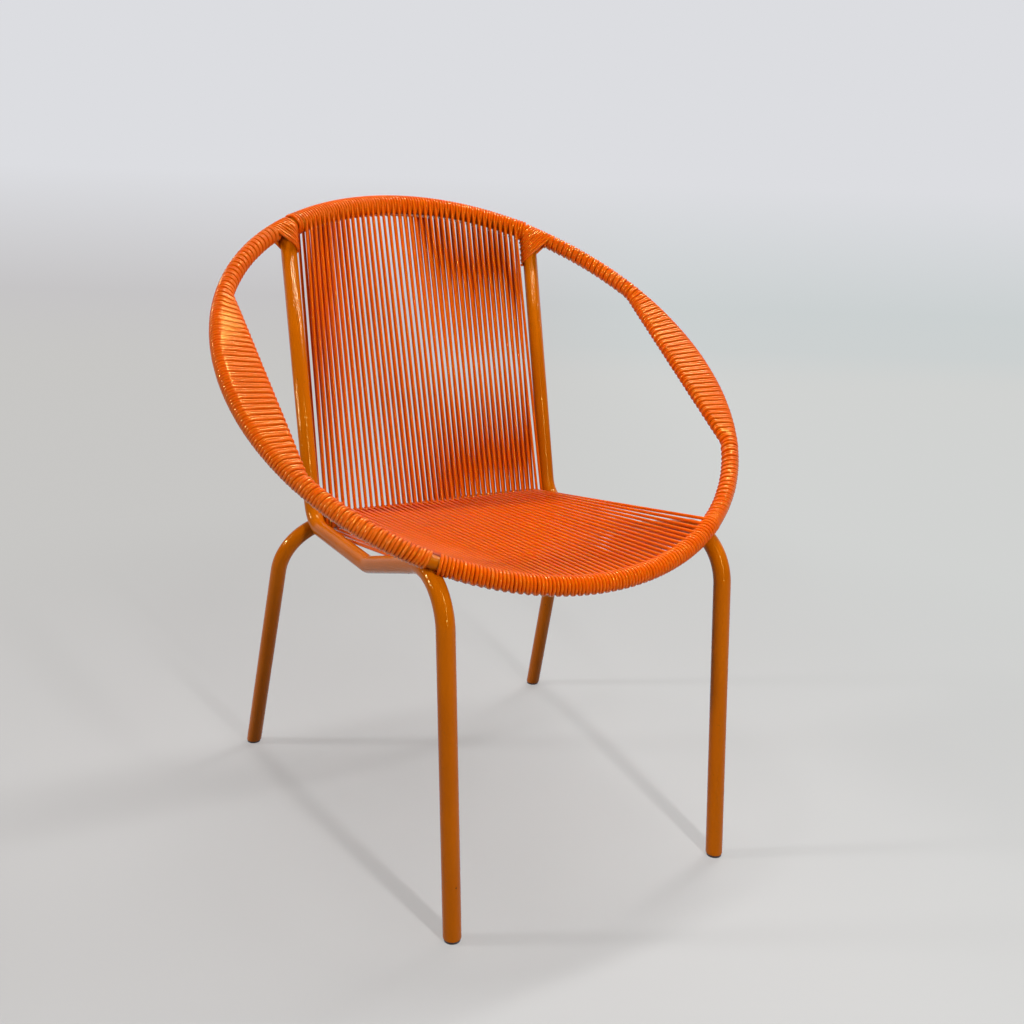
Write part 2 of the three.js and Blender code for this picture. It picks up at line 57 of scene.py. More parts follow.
# Feet: rounded tube ends and the plugs in them. The sole's edge is in millimetres: height, inset.
FOOT_ROUNDING = 2.5 * MM
FOOT_STEPS = 6
SOCKET_RADIUS = 8.65 * MM
SOCKET_DEPTH = 20 * MM
PLUG_FLANGE = 2.6 * MM
PLUG_GAP = 0.3 * MM
PLUG_CHAMFER = 0.3 * MM
PLUG_SIDES = 36
SOLE_EDGE = [(0, 0.9), (0.15, 0.35), (0.5, 0)]

# Weld beads: half the length, width and height, and the way through both tubes, from +Y up
FRONT_WELD = (7 * MM, 4.2 * MM, 1.6 * MM)
FRONT_WELD_WAY = radians(111.5)
FRONT_WELD_SEED = 31
REAR_WELD = (7.5 * MM, 6 * MM, 2.2 * MM)
REAR_WELD_WAY = radians(-48)
REAR_WELD_SEED = 32
WELD_STEPS = 14
WELD_SIDES = 16
WELD_END = 0.02
WELD_STRAY = 0.06

# Cord and its cut ends
CORD_RADIUS = 2.2 * MM
CORD_SIDES = 10
CUT_REACH = 0.3 * CORD_RADIUS
CUT_SHARE = 0.72

# Strung cords: loops between the cross bar and the hoop. A cord lies on the hoop for a turn and a
# half, of which the start and the span are in loops.
LOOPS = 42
FIELD_REACH = 183.5 * MM
LOOP_WIDTH = 2 * FIELD_REACH / LOOPS
RIM_EDGE = radians(59.5)
RIM_STEP = (pi - 2 * RIM_EDGE) / (LOOPS - 0.5)
RIM_START = -0.125
RIM_SPAN = 0.75
END_TURNS = 3
STRAND_STRAY = 0.15 * MM
LOOP_STRAY = 0.03
BAR_STEPS = 10
RIM_STEPS = 36
END_STEPS = 20
SEAT_SEED = 3
BACK_SEED = 5

# The seat's loops spread on the hoop from this loop on, in the end by this angle.
SPREAD_START = 24
SEAT_SPREAD = radians(3.6)

# Shifts of the far layer's strands at the bar and at the rim: millimetres across, and loops
SEAT_AT_BAR = [(-184, 0.58), (184, 0.58)]
SEAT_AT_RIM = [(45, 0.55), (89, 0.2), (124, 0.17), (168, -0.27)]
BACK_AT_BAR = [(-159, 0), (-116, -0.17), (-11, -0.04), (50, 0.17), (103, 0.15), (164, 0.02)]
BACK_AT_RIM = [(-159, -0.53), (-116, -0.44), (-11, -0.29), (50, -0.56), (103, -0.48), (138, -0.24),
               (164, -0.06)]

# Windings: turns lie in pairs, close together and one of them deeper.
PITCH = 4.45 * MM
WEB_PITCH = 4.6 * MM
PAIR_PULL = 0.09
PAIR_DEPTH = 0.95 * MM
TURN_STRAY = 0.12 * MM
JITTER_COUNT = 64
RIM_TURN_STEPS = 16
ARM_TURN_STEPS = 36
WEB_TURN_STEPS = 40
ELLIPSE_STEPS = 40
LENGTH_STEPS = 50
MIDDLE_PULL = 0.01

# Corner lashings: reach along the hoop from the upright and slope of the first turn, and how far
# they lie over the upper windings
WEB_FIRST_REACH = -6 * MM
WEB_FIRST_SLOPE = radians(50)
WEB_OVERLAP = 3 * MM

# What differs from side to side: the last turn of the lashing, the bare tube in front, and how far,
# on which side of the hoop and over which share of its turns the lower winding leans.
WINDING_SIDES = {
    "left": {"side": 1, "seed": 11, "web_reach": 38 * MM, "web_slope": radians(37),
             "front_bare": 7.5 * MM, "lean": 10 * MM, "lean_way": radians(50), "lean_share": 1},
    "right": {"side": -1, "seed": 21, "web_reach": 29 * MM, "web_slope": radians(36),
              "front_bare": 8 * MM, "lean": 4.5 * MM, "lean_way": radians(90), "lean_share": 0.25},
}
LEAN_START = 0.5
LEAN_GROWTH = 8
LEAN_FADE = 6

# Finishes: noise as scale and detail, tones as places on a ramp and colours, amounts and roughness
# as ranges, bumps as distance and strength
CORD_TONES = [(0.3, (0.73, 0.108, 0.0003)), (0.7, (0.83, 0.130, 0.0005))]
CORD_TONE_NOISE = (14, 3)
CORD_WEAR = [(0.35, (0.64, 0.072, 0.0002)), (0.75, (0.92, 0.150, 0.001))]
CORD_WEAR_NOISE = (420, 2)
CORD_WEAR_AMOUNT = (0.08, 0.35)
CORD_WEAR_AMOUNT_NOISE = (60, 3)
CORD_ROUGHNESS = (0.06, 0.12)
CORD_ROUGHNESS_NOISE = (90, 2)
CORD_GRAIN_NOISE = (260, 1)
CORD_GRAIN = (0.00012, 0.12)
CORD_SPECULAR_TINT = (1, 0.74, 0.14, 1)
CORD_LIGHT_SHARE = 0.5
CORD_LIGHT_REACH = (1, 0.3, 0.02)
STRUNG_SPECULAR = 0.36
STRUNG_LIGHT_DEPTH = 5 * MM
WOUND_SPECULAR = 0.9
WOUND_LIGHT_DEPTH = 2 * MM
PAINT_TONES = [(0.3, (0.47, 0.098, 0.0001)), (0.7, (0.56, 0.124, 0.0002))]
PAINT_TONE_NOISE = (9, 4)
PAINT_SPECKS = [(0.22, (0.05, 0.02, 0.004)), (0.27, (0.3, 0.12, 0.01))]
PAINT_SPECK_NOISE = (190, 2)
PAINT_SPECK_AMOUNT = (0.7, 0, 0.22, 0.29)
PAINT_ROUGHNESS = (0.07, 0.13)
PAINT_ROUGHNESS_NOISE = (45, 3)
ORANGE_PEEL_NOISE = (330, 1)
ORANGE_PEEL = (0.0008, 0.5)
PAINT_SPECULAR = 0.22
PAINT_SPECULAR_TINT = (1, 0.8, 0.2, 1)
PLUG_TONES = [(0.35, (0.010, 0.008, 0.007)), (0.72, (0.045, 0.038, 0.033))]
PLUG_SCUFF_NOISE = (380, 4)
PLUG_ROUGHNESS = (0.42, 0.62)
PLUG_SCUFF = (0.0002, 0.5)

# Stage: a sweep of floor and backdrop in metres, and its tones, with painted light in the glow of
# floor and backdrop
SWEEP_FRONT = -6
SWEEP_BEND = 4.2
SWEEP_RADIUS = 2.2
SWEEP_STEPS = 12
SWEEP_TOP = 7
SWEEP_HALF_WIDTH = 9
FLOOR_TONES = [(0.3, (0.24, 0.24, 0.238)), (0.7, (0.26, 0.26, 0.258))]
FLOOR_NOISE = (1.2, 2)
FLOOR_ROUGHNESS = 0.9
FLOOR_SPECULAR = 0.1
# Painted light: a glow on the floor, for the camera and in reflections, that lightens it and its
# shadows, more towards the right of the view
FLOOR_PAINTED_LIGHT = [(0, (0.325, 0.312, 0.305)), (1, (0.375, 0.373, 0.366))]
# Painted light: the backdrop's glow, lighter towards the top and towards the right of the view
BACKDROP_TOP = (0.48, (0.716, 0.723, 0.753))
BACKDROP_LEFT = [(0, (0.575, 0.568, 0.555)), (0.14, (0.565, 0.555, 0.562)), BACKDROP_TOP]
BACKDROP_RIGHT = [(0, (0.64, 0.65, 0.64)), (0.05, (0.605, 0.635, 0.635)),
                  (0.14, (0.6, 0.635, 0.64)), BACKDROP_TOP]
BACKDROP_HEIGHT = (0, 2.2)
BACKDROP_WIDTH = (-0.6, 0.8)
BACKDROP_BLEND = (0.5, 1.7)

# Light: lamps as position, target, size and watts
WORLD_COLOUR = (0.96, 0.98, 1, 1)
WORLD_STRENGTH = 0.16
LAMPS = {
    "overhead": ((0.75, 0.35, 2.6), (0.1, 0, 0.5), (2, 0.14), 45),
    "front_strip": ((0, -1.65, 1.35), (0, 0, 0.5), (0.07, 1.7), 25),
    "left_window": ((-2.8, 1.1, 1.65), (0, 0, 0.5), (0.3, 0.35), 46),
}

# Camera, with its place in millimetres from the middle of the hoop
CAMERA_PLACE = (-689.22, -1275.26, 813.12)
CAMERA_AZIMUTH = radians(-29.89)
CAMERA_ELEVATION = radians(15.2)
CAMERA_ROLL = radians(1.8)
FOCAL_PIXELS = 1082.66
PICTURE_PIXELS = 1024
SENSOR_WIDTH = 36

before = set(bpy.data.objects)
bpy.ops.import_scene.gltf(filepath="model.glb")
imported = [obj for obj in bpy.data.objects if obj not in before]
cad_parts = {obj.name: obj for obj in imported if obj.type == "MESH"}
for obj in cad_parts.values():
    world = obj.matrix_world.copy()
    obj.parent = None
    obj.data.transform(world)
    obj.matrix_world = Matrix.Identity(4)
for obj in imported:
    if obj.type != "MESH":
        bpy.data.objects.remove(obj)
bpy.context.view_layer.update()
CHAIR_SHIFT = Vector((0, 4.236 * MM, 0))
HOOP_CENTRE = CHAIR_SHIFT + Vector((0, 0, HOOP_HEIGHT))
X_AXIS = Vector((1, 0, 0))
Y_AXIS = Vector((0, 1, 0))
Z_AXIS = Vector((0, 0, 1))
HOOP_NORMAL = Vector((0, -sin(HOOP_TILT), cos(HOOP_TILT)))


# Maths

def place(x, y, z):
    """A point given in millimetres from the middle of the hoop, on the floor."""
    return Vector((x, y, z)) * MM + CHAIR_SHIFT


def hoop_point(angle):
    """A point of the hoop's ellipse; the angle runs from the left side over the back."""
    depth = HOOP_HALF_DEPTH * sin(angle)
    across = HOOP_HALF_WIDTH * cos(angle)
    return HOOP_CENTRE + Vector((across, depth * cos(HOOP_TILT), depth * sin(HOOP_TILT)))


def hoop_speed(angle):
    """Length along the hoop for one radian of its angle."""
    return hypot(HOOP_HALF_WIDTH * sin(angle), HOOP_HALF_DEPTH * cos(angle))


def hoop_tangent(angle):
    """The way along the hoop as its angle grows."""
    depth = HOOP_HALF_DEPTH * cos(angle)
    across = -HOOP_HALF_WIDTH * sin(angle)
    return Vector((across, depth * cos(HOOP_TILT), depth * sin(HOOP_TILT))).normalized()


def hoop_inward(angle):
    return HOOP_NORMAL.cross(hoop_tangent(angle)).normalized()


def rail_share(angle):
    """How far the hoop has turned into its wider back rail between the uprights, from 0 to 1."""
    reach = pi / 2 - CROSSING + RAIL_TAPER - abs(angle - pi / 2)
    return min(1, max(0, reach / (2 * RAIL_TAPER)))


def tube_point(angle):
    """Centre of the hoop's tube, which the back rail's inset moves off the ellipse."""
    return hoop_point(angle) + hoop_inward(angle) * RAIL_INSET * rail_share(angle)


def tube_radius(angle):
    return HOOP_RADIUS + (TUBE_RADIUS - HOOP_RADIUS) * rail_share(angle)


def mirrored(point, side):
    """A point of the left side, where side is 1, or its mirror image, where it is -1."""
    return Vector((side * point.x, point.y, point.z))


def across_part(vector, axis):
    """The direction of what is left of a vector without its part along an axis."""
    return (vector - axis * vector.dot(axis)).normalized()


def steep_way(angle):
    """A direction in the YZ plane, by its angle from +Y up."""
    return Vector((0, cos(angle), sin(angle)))


def eased(x, knots):
    """A value between the two nearest knots, each a distance in millimetres and its value."""
    x = min(max(x / MM, knots[0][0]), knots[-1][0])
    for (low, first), (high, last) in zip(knots, knots[1:]):
        if x <= high:
            share = (x - low) / (high - low)
            return first + (last - first) * smooth(share)


def smooth(share):
    """A share from 0 to 1 that starts and ends gently."""
    return share * share * (3 - 2 * share)


def bent_path(corners, radii):
    """Straight runs with an arc of the given radius at each inner corner."""
    path = [corners[0]]
    for corner, before, after, radius in zip(corners[1:], corners, corners[2:], radii):
        back = (before - corner).normalized()
        ahead = (after - corner).normalized()
        turn = pi - back.angle(ahead)
        centre = corner + (back + ahead).normalized() * radius / cos(turn / 2)
        start = corner + back * radius * tan(turn / 2) - centre
        axis = back.cross(start).normalized()
        steps = ceil(turn / BEND_STEP)
        for index in range(steps + 1):
            path.append(centre + Matrix.Rotation(turn * index / steps, 3, axis) @ start)
    path.append(corners[-1])
    return path


def directions(path):
    """The way along a path at each of its points."""
    around = [path[0], *path, path[-1]]
    return [(after - before).normalized() for before, after in zip(around, around[2:])]


def circle(centre, along, across, radius, sides):
    """Points round a centre, in the plane across one direction, from beside the other one."""
    outward = along.cross(across).normalized()
    upward = outward.cross(along).normalized()
    angles = [2 * pi * side / sides for side in range(sides)]
    return [centre + outward * radius * cos(angle) + upward * radius * sin(angle)
            for angle in angles]


# Meshes

def mesh_piece(name, rings, material, replaced=None, closed=False):
    """A smooth surface over rings of equal point counts, with closed ends."""
    sides = len(rings[0])
    points = [point for ring in rings for point in ring]
    faces = []
    bands = len(rings) if closed else len(rings) - 1
    for band in range(bands):
        near = band * sides
        far = ((band + 1) % len(rings)) * sides
        for side in range(sides):
            following = (side + 1) % sides
            faces.append((near + side, near + following, far + following, far + side))
    if not closed:
        last = (len(rings) - 1) * sides
        faces.append(tuple(range(sides))[::-1])
        faces.append(tuple(range(last, last + sides)))
    mesh = bpy.data.meshes.new(name)
    mesh.from_pydata(points, [], faces)
    mesh.materials.append(material)
    mesh.validate()
    mesh.update()
    mesh.shade_smooth()
    piece = bpy.data.objects.new(name, mesh)
    bpy.context.scene.collection.objects.link(piece)
    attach(piece, "root")
    if replaced:
        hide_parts(replaced)
    return piece


def tube_rings(path, radius, sides, across=None):
    """Rings along a path; without a fixed direction across, one is carried along it."""
    ways = directions(path)
    carried = across or ways[0].orthogonal().normalized()
    rings = []
    for point, way in zip(path, ways):
        carried = across or across_part(carried, way)
        rings.append(circle(point, way, carried, radius, sides))
    return rings


def cord_piece(node, path, material):
    """A cord along a path in place of a node, with a small round at each cut end."""
    rings = tube_rings(path, CORD_RADIUS, CORD_SIDES)
    ways = directions(path)
    cuts = []
    for ring, centre, way in ((rings[0], path[0], -ways[0]), (rings[-1], path[-1], ways[-1])):
        cuts.append([centre + way * CUT_REACH + (point - centre) * CUT_SHARE for point in ring])
    mesh_piece(f"{node}_dressed", [cuts[0], *rings, cuts[1]], material, node)


# Materials

def set_sockets(node, **values):
    for name, value in values.items():
        node.inputs[name.replace("_", " ")].default_value = value


def noise_node(tree, coordinates, scale, detail):
    node = tree.nodes.new("ShaderNodeTexNoise")
    set_sockets(node, Scale=scale, Detail=detail)
    tree.links.new(coordinates, node.inputs["Vector"])
    return node.outputs["Fac"]


def ramp_node(tree, factor, stops):
    node = tree.nodes.new("ShaderNodeValToRGB")
    while len(node.color_ramp.elements) < len(stops):
        node.color_ramp.elements.new(0.5)
    for element, (position, colour) in zip(node.color_ramp.elements, stops):
        element.position = position
        element.color = (*colour, 1)
    tree.links.new(factor, node.inputs["Fac"])
    return node.outputs["Color"]


def range_node(tree, factor, low, high, start=0.3, end=0.7, interpolation="LINEAR"):
    """Maps a factor between start and end to a value between low and high."""
    node = tree.nodes.new("ShaderNodeMapRange")
    node.interpolation_type = interpolation
    set_sockets(node, From_Min=start, From_Max=end, To_Min=low, To_Max=high)
    tree.links.new(factor, node.inputs["Value"])
    return node.outputs["Result"]


def mix_node(tree, factor, first, second):
    node = tree.nodes.new("ShaderNodeMix")
    node.data_type = "RGBA"
    tree.links.new(factor, node.inputs["Factor"])
    tree.links.new(first, node.inputs["A"])
    tree.links.new(second, node.inputs["B"])
    return node.outputs["Result"]


def bump_node(tree, height, distance, strength):
    node = tree.nodes.new("ShaderNodeBump")
    set_sockets(node, Distance=distance, Strength=strength)
    tree.links.new(height, node.inputs["Height"])
    return node.outputs["Normal"]


def math_node(tree, operation, first, second):
    node = tree.nodes.new("ShaderNodeMath")
    node.operation = operation
    tree.links.new(first, node.inputs[0])
    tree.links.new(second, node.inputs[1])
    return node.outputs["Value"]


def emission_node(tree, colour):
    node = tree.nodes.new("ShaderNodeEmission")
    tree.links.new(colour, node.inputs["Color"])
    return node


def new_material(name):
    """A material with its tree, its shader and the coordinates that its textures use."""
    material = bpy.data.materials.new(name)
    material.use_nodes = True
    tree = material.node_tree
    shader = tree.nodes["Principled BSDF"]
    coordinates = tree.nodes.new("ShaderNodeTexCoord").outputs["Object"]
    return material, tree, shader, coordinates


def cord_material(name, specular, depth):
    """Glossy extruded cord that lets some light through: soft patches of tone, grain and wear."""
    material, tree, shader, coordinates = new_material(name)
    tones = ramp_node(tree, noise_node(tree, coordinates, *CORD_TONE_NOISE), CORD_TONES)
    worn = ramp_node(tree, noise_node(tree, coordinates, *CORD_WEAR_NOISE), CORD_WEAR)
    amount_noise = noise_node(tree, coordinates, *CORD_WEAR_AMOUNT_NOISE)
    amount = range_node(tree, amount_noise, *CORD_WEAR_AMOUNT)
    tree.links.new(mix_node(tree, amount, tones, worn), shader.inputs["Base Color"])
    sheen = noise_node(tree, coordinates, *CORD_ROUGHNESS_NOISE)
    tree.links.new(range_node(tree, sheen, *CORD_ROUGHNESS), shader.inputs["Roughness"])
    grain = noise_node(tree, coordinates, *CORD_GRAIN_NOISE)
    tree.links.new(bump_node(tree, grain, *CORD_GRAIN), shader.inputs["Normal"])
    set_sockets(shader, Specular_IOR_Level=specular, Specular_Tint=CORD_SPECULAR_TINT,
                Subsurface_Weight=CORD_LIGHT_SHARE, Subsurface_Radius=CORD_LIGHT_REACH,
                Subsurface_Scale=depth)
    return material


def paint_material():
    """Glossy paint on steel tube: orange peel, uneven depth of tone and a few dark specks."""
    material, tree, shader, coordinates = new_material("frame_paint")
    tones = ramp_node(tree, noise_node(tree, coordinates, *PAINT_TONE_NOISE), PAINT_TONES)
    speck_noise = noise_node(tree, coordinates, *PAINT_SPECK_NOISE)
    specks = ramp_node(tree, speck_noise, PAINT_SPECKS)
    amount = range_node(tree, speck_noise, *PAINT_SPECK_AMOUNT)
    tree.links.new(mix_node(tree, amount, tones, specks), shader.inputs["Base Color"])
    sheen = noise_node(tree, coordinates, *PAINT_ROUGHNESS_NOISE)
    tree.links.new(range_node(tree, sheen, *PAINT_ROUGHNESS), shader.inputs["Roughness"])
    peel = noise_node(tree, coordinates, *ORANGE_PEEL_NOISE)
    tree.links.new(bump_node(tree, peel, *ORANGE_PEEL), shader.inputs["Normal"])
    set_sockets(shader, Specular_IOR_Level=PAINT_SPECULAR, Specular_Tint=PAINT_SPECULAR_TINT)
    return material


def plug_material():
    """Dull moulded plastic, scuffed grey where it touches the ground."""
    material, tree, shader, coordinates = new_material("plug_plastic")
    scuff = noise_node(tree, coordinates, *PLUG_SCUFF_NOISE)
    tree.links.new(ramp_node(tree, scuff, PLUG_TONES), shader.inputs["Base Color"])
    tree.links.new(range_node(tree, scuff, *PLUG_ROUGHNESS), shader.inputs["Roughness"])
    tree.links.new(bump_node(tree, scuff, *PLUG_SCUFF), shader.inputs["Normal"])
    return material


STRUNG_CORD = cord_material("strung_vinyl", STRUNG_SPECULAR, STRUNG_LIGHT_DEPTH)
WOUND_CORD = cord_material("wound_vinyl", WOUND_SPECULAR, WOUND_LIGHT_DEPTH)
PAINT = paint_material()
PLUG = plug_material()


# Frame

def level_ring(path, across, radius, height, sides):
    """The level cut at a height through a round bar along the last stretch of a path."""
    along = (path[-1] - path[-2]).normalized()
    ring = circle(path[-1], along, across, radius, sides)
    return [point + along * (height - point.z) / along.z for point in ring]


def side_path(side):
    corners = [place(side * SIDE_REACH / MM, y, z) for y, z in SIDE_CORNERS]
    return bent_path(corners, SIDE_BENDS)


def rear_path():
    foot, bend = [place(*corner) for corner in REAR_CORNERS]
    return bent_path([mirrored(foot, -1), mirrored(bend, -1), bend, foot], [REAR_BEND, REAR_BEND])


REAR_PATH = rear_path()


def foot_rings(path, across):
    """Rings of a level-cut tube end with a rounded edge and the mouth of its socket."""
    cut = PLUG_FLANGE + PLUG_GAP
    rings = []
    for step in range(FOOT_STEPS + 1):
        angle = pi / 2 * step / FOOT_STEPS
        height = cut + FOOT_ROUNDING * (1 - sin(angle))
        radius = TUBE_RADIUS - FOOT_ROUNDING / 2 * (1 - cos(angle))
        rings.append(level_ring(path, across, radius, height, TUBE_SIDES))
    for height in (cut, cut + SOCKET_DEPTH):
        rings.append(level_ring(path, across, SOCKET_RADIUS, height, TUBE_SIDES))
    return rings


def foot_plug(node, path, across):
    """A plug with a rounded sole, a flange and a stem that stands in the tube's socket."""
    flange = TUBE_RADIUS - FOOT_ROUNDING / 2
    stem = SOCKET_RADIUS - PLUG_GAP
    profile = [(height * MM, flange - inset * MM) for height, inset in SOLE_EDGE]
    profile += [(PLUG_FLANGE - PLUG_CHAMFER, flange), (PLUG_FLANGE, flange - PLUG_CHAMFER)]
    profile += [(PLUG_FLANGE, stem), (PLUG_FLANGE + SOCKET_DEPTH, stem)]
    rings = [level_ring(path, across, radius, height, PLUG_SIDES) for height, radius in profile]
    mesh_piece(f"{node}_dressed", rings, PLUG, node)


def build_hoop():
    rings = []
    for step in range(HOOP_STEPS):
        angle = 2 * pi * step / HOOP_STEPS
        rings.append(circle(tube_point(angle), hoop_tangent(angle), HOOP_NORMAL, tube_radius(angle),
                            HOOP_SIDES))
    mesh_piece("hoop_dressed", rings, PAINT, "hoop_tube", closed=True)


def build_side_tubes():
    for name, side in CHAIR_SIDES:
        path = side_path(side)
        rings = tube_rings(path[:-1], TUBE_RADIUS, TUBE_SIDES, X_AXIS) + foot_rings(path, X_AXIS)
        mesh_piece(f"{name}_side_tube_dressed", rings, PAINT, f"{name}_side_tube")
        foot_plug(f"front_{name}_foot_plug", path, X_AXIS)


def build_rear_leg_frame():
    path = REAR_PATH
    across = across_part(X_AXIS.cross(path[0] - path[len(path) // 2]), X_AXIS)
    inner = tube_rings(path[1:-1], TUBE_RADIUS, TUBE_SIDES, across)
    rings = [matched(ring[::-1], inner[0]) for ring in foot_rings(path[::-1], across)[::-1]]
    rings += inner
    rings += [matched(ring, inner[-1]) for ring in foot_rings(path, across)]
    mesh_piece("rear_leg_frame_dressed", rings, PAINT, "rear_leg_frame")
    foot_plug("rear_left_foot_plug", path, across)
    foot_plug("rear_right_foot_plug", path[::-1], across)


def matched(ring, other):
    """The ring's points in the order that lines them up with another ring."""
    centre = sum(other, Vector()) / len(other)
    own = sum(ring, Vector()) / len(ring)

    def misfit(order):
        return sum(((point - own) - (goal - centre)).length_squared
                   for point, goal in zip(order[::5], other[::5]))

    orders = []
    for way in (ring, ring[::-1]):
        orders += [way[shift:] + way[:shift] for shift in range(len(ring))]
    return min(orders, key=misfit)


def keep_arm_bars():
    """The arm bars stay as the solids that they are, in the frame's paint."""
    for name, _ in CHAIR_SIDES:
        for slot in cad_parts[f"{name}_arm_bar"].material_slots:
            slot.material = PAINT


def weld_bead(name, centre, along, across, size, seed):
    """A small uneven run of weld metal, lying lengthwise between two tubes."""
    stray = random.Random(seed)
    length, width, height = size
    up = along.cross(across).normalized()
    rings = []
    for step in range(WELD_STEPS + 1):
        share = step / WELD_STEPS
        swell = sin(pi * min(max(share, WELD_END), 1 - WELD_END)) ** 0.5
        swell *= 1 + stray.uniform(-WELD_STRAY, WELD_STRAY)
        middle = centre + along * length * (2 * share - 1)
        angles = [2 * pi * side / WELD_SIDES for side in range(WELD_SIDES)]
        rings.append([middle + (across * cos(angle) * width + up * sin(angle) * height) * swell
                      for angle in angles])
    mesh_piece(name, rings, PAINT)


def bend_touch(side):
    """Where the crease of a side tube rests on the rear leg frame."""
    pairs = [((upper - lower).length, upper, lower) for upper in side_path(side)
             for lower in REAR_PATH if lower.x * side > 0]
    _, upper, lower = min(pairs, key=lambda pair: pair[0])
    return (upper + lower) / 2


def build_welds():
    """Weld beads where the hoop rests on the front bends and the side tubes on the rear frame."""
    for name, side in CHAIR_SIDES:
        tangent = mirrored(hoop_tangent(-CROSSING), side)
        front_way = steep_way(FRONT_WELD_WAY)
        front = mirrored(hoop_point(-CROSSING), side) - front_way * HOOP_RADIUS
        front_across = tangent.cross(front_way).normalized()
        weld_bead(f"{name}_front_weld", front, tangent, front_across, FRONT_WELD,
                  FRONT_WELD_SEED)
        rear_across = X_AXIS.cross(steep_way(REAR_WELD_WAY)).normalized()
        weld_bead(f"{name}_rear_weld", bend_touch(side), X_AXIS, rear_across, REAR_WELD,
                  REAR_WELD_SEED)


# Strung cords

def bar_centre(x):
    """Centre of the cross bar at a distance from the middle, and its slope as it droops there."""
    stretches = zip(REAR_PATH, REAR_PATH[1:])
    first, second = next(ends for ends in stretches if ends[0].x < x <= ends[1].x)
    run = second.x - first.x
    slope = hypot(second.y - first.y, second.z - first.z) / run
    return first.lerp(second, (x - first.x) / run), slope


def arc_points(centre_at, outward, upward, radius, start, end, steps):
    """Points of a cord laid round a tube from one phase angle to another."""
    points = []
    for step in range(steps + 1):
        phase = start + (end - start) * step / steps
        around = outward * cos(phase) + upward * sin(phase)
        points.append(centre_at(step / steps) + around * radius)
    return points


def seat_angle(loop):
    """Where a loop of the seat sits on the hoop; towards the left leg the loops spread."""
    spread = min(1, max(0, (loop - SPREAD_START) / (LOOPS - 1 - SPREAD_START)))
    return -pi + RIM_EDGE + loop * RIM_STEP + SEAT_SPREAD * spread * spread


def back_angle(loop):
    """Where a loop of the back sits on the hoop."""
    return RIM_EDGE + loop * RIM_STEP


def strung_path(side, sitter_way, angle_at, rim_radius, seed, bar_shifts, rim_shifts, last_turns):
    """One unbroken cord: half a turn on the bar, a strand, a turn and a half on the rim, a strand
    back. Its ends are wound on the rim. The shifts move the far layer's strands at bar and rim."""
    wobble = random.Random(seed)
    path = []
    for loop in range(LOOPS):
        x = side * (FIELD_REACH - (loop + 0.25) * LOOP_WIDTH)
        x += wobble.uniform(-STRAND_STRAY, STRAND_STRAY)
        centre, slope = bar_centre(x)
        far_centre, _ = bar_centre(x - side * eased(x, bar_shifts) * LOOP_WIDTH)
        stray = wobble.uniform(-LOOP_STRAY, LOOP_STRAY)
        outward = across_part(centre - tube_point(angle_at(loop + stray)), X_AXIS)
        upward = across_part(across_part(sitter_way, outward), X_AXIS)
        bar_radius = TUBE_RADIUS * hypot(1, slope) + CORD_RADIUS
        bar_turn = arc_points(lambda share: far_centre.lerp(centre, share), outward, upward,
                              bar_radius, -pi / 2, pi / 2, BAR_STEPS)
        tangent = hoop_tangent(angle_at(loop))
        rim_out = across_part(tube_point(angle_at(loop)) - centre, tangent)
        rim_up = tangent.cross(rim_out)
        rim_up *= 1 if rim_up.dot(sitter_way) > 0 else -1

        def rim_turns(first, last, start, end, steps, shift=0):
            """Turns on the rim between two places in loops; a shift comes in their last eighth."""
            def rim_centre(share):
                late = max(0, 8 * share - 7)
                return tube_point(angle_at(first + (last - first) * share + shift * late * late))

            return arc_points(rim_centre, rim_out, rim_up, rim_radius + CORD_RADIUS, start, end,
                              steps)

        near = loop + stray + RIM_START
        far = near + RIM_SPAN
        shift = eased(x, rim_shifts)
        if loop == 0:
            start = RIM_START + RIM_SPAN - 1
            path += rim_turns(start - END_TURNS / 2, start, -pi / 2 + 2 * pi * END_TURNS, -pi / 2,
                              END_STEPS * END_TURNS)
        path += bar_turn
        path += rim_turns(near, far, pi / 2, -5 * pi / 2, RIM_STEPS, shift)
        if loop == LOOPS - 1 and last_turns:
            path += rim_turns(far + shift, far + shift + last_turns / 2, -5 * pi / 2,
                              -5 * pi / 2 - 2 * pi * last_turns, END_STEPS * last_turns)[1:]
    return path


def build_strung():
    seat = strung_path(-1, Z_AXIS, seat_angle, HOOP_RADIUS, SEAT_SEED, SEAT_AT_BAR, SEAT_AT_RIM, 0)
    back = strung_path(1, -Y_AXIS, back_angle, TUBE_RADIUS, BACK_SEED, BACK_AT_BAR, BACK_AT_RIM,
                       END_TURNS)
    cord_piece("seat_cord", seat, STRUNG_CORD)
    cord_piece("back_cord", back, STRUNG_CORD)


# Windings

def winding_lifts(seed):
    """How high each turn lies: every second one is pulled deeper, and each strays a little."""
    stray = random.Random(seed)
    return [-PAIR_DEPTH * (index % 2) + stray.uniform(-TURN_STRAY, TURN_STRAY)
            for index in range(JITTER_COUNT)]


def cord_lift(turn, lifts):
    """Height of the cord's centre line over what it is wound on, passing from turn to turn."""
    index = int(turn)
    blend = smooth(turn - index)
    first, second = lifts[index % JITTER_COUNT], lifts[(index + 1) % JITTER_COUNT]
    return CORD_RADIUS + first * (1 - blend) + second * blend


def paired(turn):
    """The place of a turn along its winding: the two turns of a pair lie close together."""
    return turn + PAIR_PULL * cos(pi * turn)


def hoop_length(first, last):
    """Length along the hoop between two of its angles."""
    width = abs(last - first) / LENGTH_STEPS
    shares = [(step + 0.5) / LENGTH_STEPS for step in range(LENGTH_STEPS)]
    return sum(hoop_speed(first + (last - first) * share) for share in shares) * width


